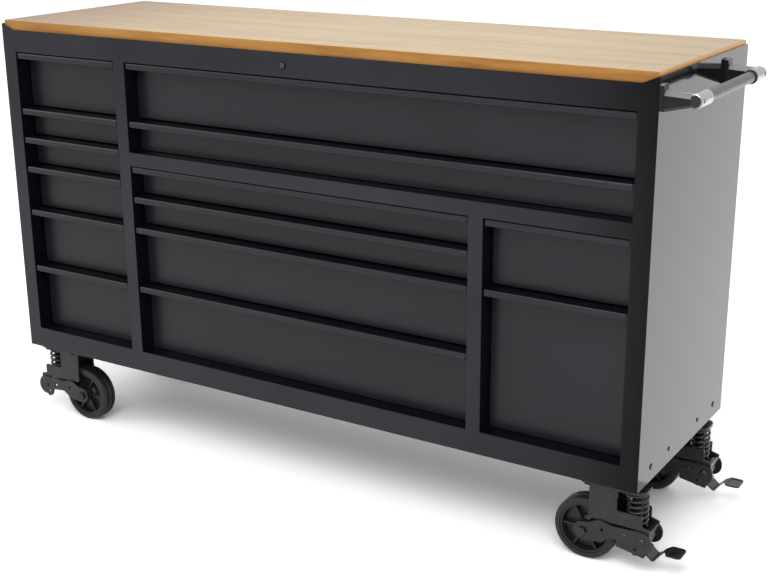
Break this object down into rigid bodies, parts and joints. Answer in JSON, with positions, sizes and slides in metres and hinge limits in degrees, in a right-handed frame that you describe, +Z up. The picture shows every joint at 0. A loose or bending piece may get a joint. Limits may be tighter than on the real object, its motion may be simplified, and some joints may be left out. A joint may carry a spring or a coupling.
{
  "type": "rolling tool cabinet",
  "caption": "Wide rolling tool cabinet with stacked drawers, a wooden worktop, a side push handle and sprung casters, two of them braked",
  "frame": {"origin": "on the floor under the middle of the bounding box", "axes": "+Z up, -Y out of the drawer fronts, +X towards the end with the push handle"},
  "size_m": [1.6121, 0.4626, 0.9392],
  "materials": {
    "black_paint": "gloss powder coat",
    "wood": "oiled hardwood board",
    "zinc_steel": "zinc plated",
    "lock_metal": "dark plated lock",
    "pin_steel": "blackened steel",
    "ring_plastic": "black moulded ring",
    "black_casting": "satin paint on a casting",
    "silver_metal": "satin silver",
    "grey_tube": "satin grey paint",
    "black_screw": "blackened steel",
    "caster_black": "satin black coat",
    "tyre": "moulded tread",
    "wheel_plastic": "moulded nylon",
    "spring_black": "black enamel"
  },
  "bodies": {
    "cabinet": {"side_panel_left": "black_paint", "side_panel_right": "black_paint", "front_frame": "black_paint", "back_panel": "black_paint", "floor_pan": "black_paint", "top_deck": "black_paint", "dividers": "black_paint", "mid_shelf": "black_paint", "slide_posts": "black_paint", "worktop": "wood", "slide_rails": "zinc_steel", "caster_bolts": "black_screw", "lock_housing": "lock_metal", "handle_brackets": "black_casting", "handle_caps": "silver_metal", "handle_grip": "grey_tube", "handle_screws": "black_screw", "handle_rings": "ring_plastic", "side_screws": "black_screw", "rigid_yokes": "caster_black", "swivel_plates": "caster_black", "caster_spring_front_left": "spring_black", "caster_spring_rear_left": "spring_black"},
    "lock": {"lock_cylinder": "lock_metal"},
    "drawer_left_1": {"drawer_left_1": "black_paint"},
    "drawer_left_2": {"drawer_left_2": "black_paint"},
    "drawer_left_3": {"drawer_left_3": "black_paint"},
    "drawer_left_4": {"drawer_left_4": "black_paint"},
    "drawer_left_5": {"drawer_left_5": "black_paint"},
    "drawer_left_6": {"drawer_left_6": "black_paint"},
    "drawer_upper_1": {"drawer_upper_1": "black_paint"},
    "drawer_upper_2": {"drawer_upper_2": "black_paint"},
    "drawer_centre_1": {"drawer_centre_1": "black_paint"},
    "drawer_centre_2": {"drawer_centre_2": "black_paint"},
    "drawer_centre_3": {"drawer_centre_3": "black_paint"},
    "drawer_centre_4": {"drawer_centre_4": "black_paint"},
    "drawer_right_1": {"drawer_right_1": "black_paint"},
    "drawer_right_2": {"drawer_right_2": "black_paint"},
    "arm_front_left": {"caster_arm_front_left": "caster_black", "caster_pins_front_left": "pin_steel"},
    "wheel_front_left": {"caster_tyre_front_left": "tyre", "caster_hub_front_left": "wheel_plastic"},
    "arm_rear_left": {"caster_arm_rear_left": "caster_black", "caster_pins_rear_left": "pin_steel"},
    "wheel_rear_left": {"caster_tyre_rear_left": "tyre", "caster_hub_rear_left": "wheel_plastic"},
    "yoke_front_right": {"swivel_yoke_front_right": "caster_black", "caster_spring_front_right": "spring_black"},
    "arm_front_right": {"caster_arm_front_right": "caster_black", "caster_pins_front_right": "pin_steel"},
    "wheel_front_right": {"caster_tyre_front_right": "tyre", "caster_hub_front_right": "wheel_plastic"},
    "pedal_front_right": {"brake_pedal_front_right": "caster_black"},
    "yoke_rear_right": {"swivel_yoke_rear_right": "caster_black", "caster_spring_rear_right": "spring_black"},
    "arm_rear_right": {"caster_arm_rear_right": "caster_black", "caster_pins_rear_right": "pin_steel"},
    "wheel_rear_right": {"caster_tyre_rear_right": "tyre", "caster_hub_rear_right": "wheel_plastic"},
    "pedal_rear_right": {"brake_pedal_rear_right": "caster_black"}
  },
  "joints": [
    {"name": "lock_turn", "type": "hinge", "parent": "cabinet", "child": "lock", "pos_m": [-0.02975, -0.22875, 0.8944], "axis": [0, 1, 0], "range_deg": [0, 90]},
    {"name": "drawer_left_1_slide", "type": "slide", "parent": "cabinet", "child": "drawer_left_1", "axis": [0, -1, 0], "range_m": [0, 0.3]},
    {"name": "drawer_left_2_slide", "type": "slide", "parent": "cabinet", "child": "drawer_left_2", "axis": [0, -1, 0], "range_m": [0, 0.3]},
    {"name": "drawer_left_3_slide", "type": "slide", "parent": "cabinet", "child": "drawer_left_3", "axis": [0, -1, 0], "range_m": [0, 0.3]},
    {"name": "drawer_left_4_slide", "type": "slide", "parent": "cabinet", "child": "drawer_left_4", "axis": [0, -1, 0], "range_m": [0, 0.3]},
    {"name": "drawer_left_5_slide", "type": "slide", "parent": "cabinet", "child": "drawer_left_5", "axis": [0, -1, 0], "range_m": [0, 0.3]},
    {"name": "drawer_left_6_slide", "type": "slide", "parent": "cabinet", "child": "drawer_left_6", "axis": [0, -1, 0], "range_m": [0, 0.3]},
    {"name": "drawer_upper_1_slide", "type": "slide", "parent": "cabinet", "child": "drawer_upper_1", "axis": [0, -1, 0], "range_m": [0, 0.3]},
    {"name": "drawer_upper_2_slide", "type": "slide", "parent": "cabinet", "child": "drawer_upper_2", "axis": [0, -1, 0], "range_m": [0, 0.3]},
    {"name": "drawer_centre_1_slide", "type": "slide", "parent": "cabinet", "child": "drawer_centre_1", "axis": [0, -1, 0], "range_m": [0, 0.3]},
    {"name": "drawer_centre_2_slide", "type": "slide", "parent": "cabinet", "child": "drawer_centre_2", "axis": [0, -1, 0], "range_m": [0, 0.3]},
    {"name": "drawer_centre_3_slide", "type": "slide", "parent": "cabinet", "child": "drawer_centre_3", "axis": [0, -1, 0], "range_m": [0, 0.3]},
    {"name": "drawer_centre_4_slide", "type": "slide", "parent": "cabinet", "child": "drawer_centre_4", "axis": [0, -1, 0], "range_m": [0, 0.3]},
    {"name": "drawer_right_1_slide", "type": "slide", "parent": "cabinet", "child": "drawer_right_1", "axis": [0, -1, 0], "range_m": [0, 0.3]},
    {"name": "drawer_right_2_slide", "type": "slide", "parent": "cabinet", "child": "drawer_right_2", "axis": [0, -1, 0], "range_m": [0, 0.3]},
    {"name": "suspension_front_left", "type": "hinge", "parent": "cabinet", "child": "arm_front_left", "pos_m": [-0.78475, -0.17175, 0.069], "axis": [0, -1, 0], "range_deg": [0, 8], "stiffness_Nm_per_rad": 150, "springref_deg": -23.68, "deforming": ["caster_spring_front_left"]},
    {"name": "wheel_spin_front_left", "type": "hinge", "parent": "arm_front_left", "child": "wheel_front_left", "pos_m": [-0.66675, -0.17175, 0.0625], "axis": [0, 1, 0], "continuous": true},
    {"name": "suspension_rear_left", "type": "hinge", "parent": "cabinet", "child": "arm_rear_left", "pos_m": [-0.78475, 0.16725, 0.069], "axis": [0, -1, 0], "range_deg": [0, 8], "stiffness_Nm_per_rad": 150, "springref_deg": -23.68, "deforming": ["caster_spring_rear_left"]},
    {"name": "wheel_spin_rear_left", "type": "hinge", "parent": "arm_rear_left", "child": "wheel_rear_left", "pos_m": [-0.66675, 0.16725, 0.0625], "axis": [0, 1, 0], "continuous": true},
    {"name": "swivel_front_right", "type": "hinge", "parent": "cabinet", "child": "yoke_front_right", "pos_m": [0.66725, -0.17175, 0.166], "axis": [0, 0, 1], "continuous": true},
    {"name": "suspension_front_right", "type": "hinge", "parent": "yoke_front_right", "child": "arm_front_right", "pos_m": [0.73525, -0.17175, 0.069], "axis": [0, 1, 0], "range_deg": [0, 8], "stiffness_Nm_per_rad": 150, "springref_deg": -23.68, "deforming": ["caster_spring_front_right"]},
    {"name": "wheel_spin_front_right", "type": "hinge", "parent": "arm_front_right", "child": "wheel_front_right", "pos_m": [0.61725, -0.17175, 0.0625], "axis": [0, 1, 0], "continuous": true},
    {"name": "brake_front_right", "type": "hinge", "parent": "arm_front_right", "child": "pedal_front_right", "pos_m": [0.70125, -0.17175, 0.073], "axis": [0, 1, 0], "range_deg": [0, 9]},
    {"name": "swivel_rear_right", "type": "hinge", "parent": "cabinet", "child": "yoke_rear_right", "pos_m": [0.66725, 0.16725, 0.166], "axis": [0, 0, 1], "continuous": true},
    {"name": "suspension_rear_right", "type": "hinge", "parent": "yoke_rear_right", "child": "arm_rear_right", "pos_m": [0.73525, 0.16725, 0.069], "axis": [0, 1, 0], "range_deg": [0, 8], "stiffness_Nm_per_rad": 150, "springref_deg": -23.68, "deforming": ["caster_spring_rear_right"]},
    {"name": "wheel_spin_rear_right", "type": "hinge", "parent": "arm_rear_right", "child": "wheel_rear_right", "pos_m": [0.61725, 0.16725, 0.0625], "axis": [0, 1, 0], "continuous": true},
    {"name": "brake_rear_right", "type": "hinge", "parent": "arm_rear_right", "child": "pedal_rear_right", "pos_m": [0.70125, 0.16725, 0.073], "axis": [0, 1, 0], "range_deg": [0, 9]}
  ]
}
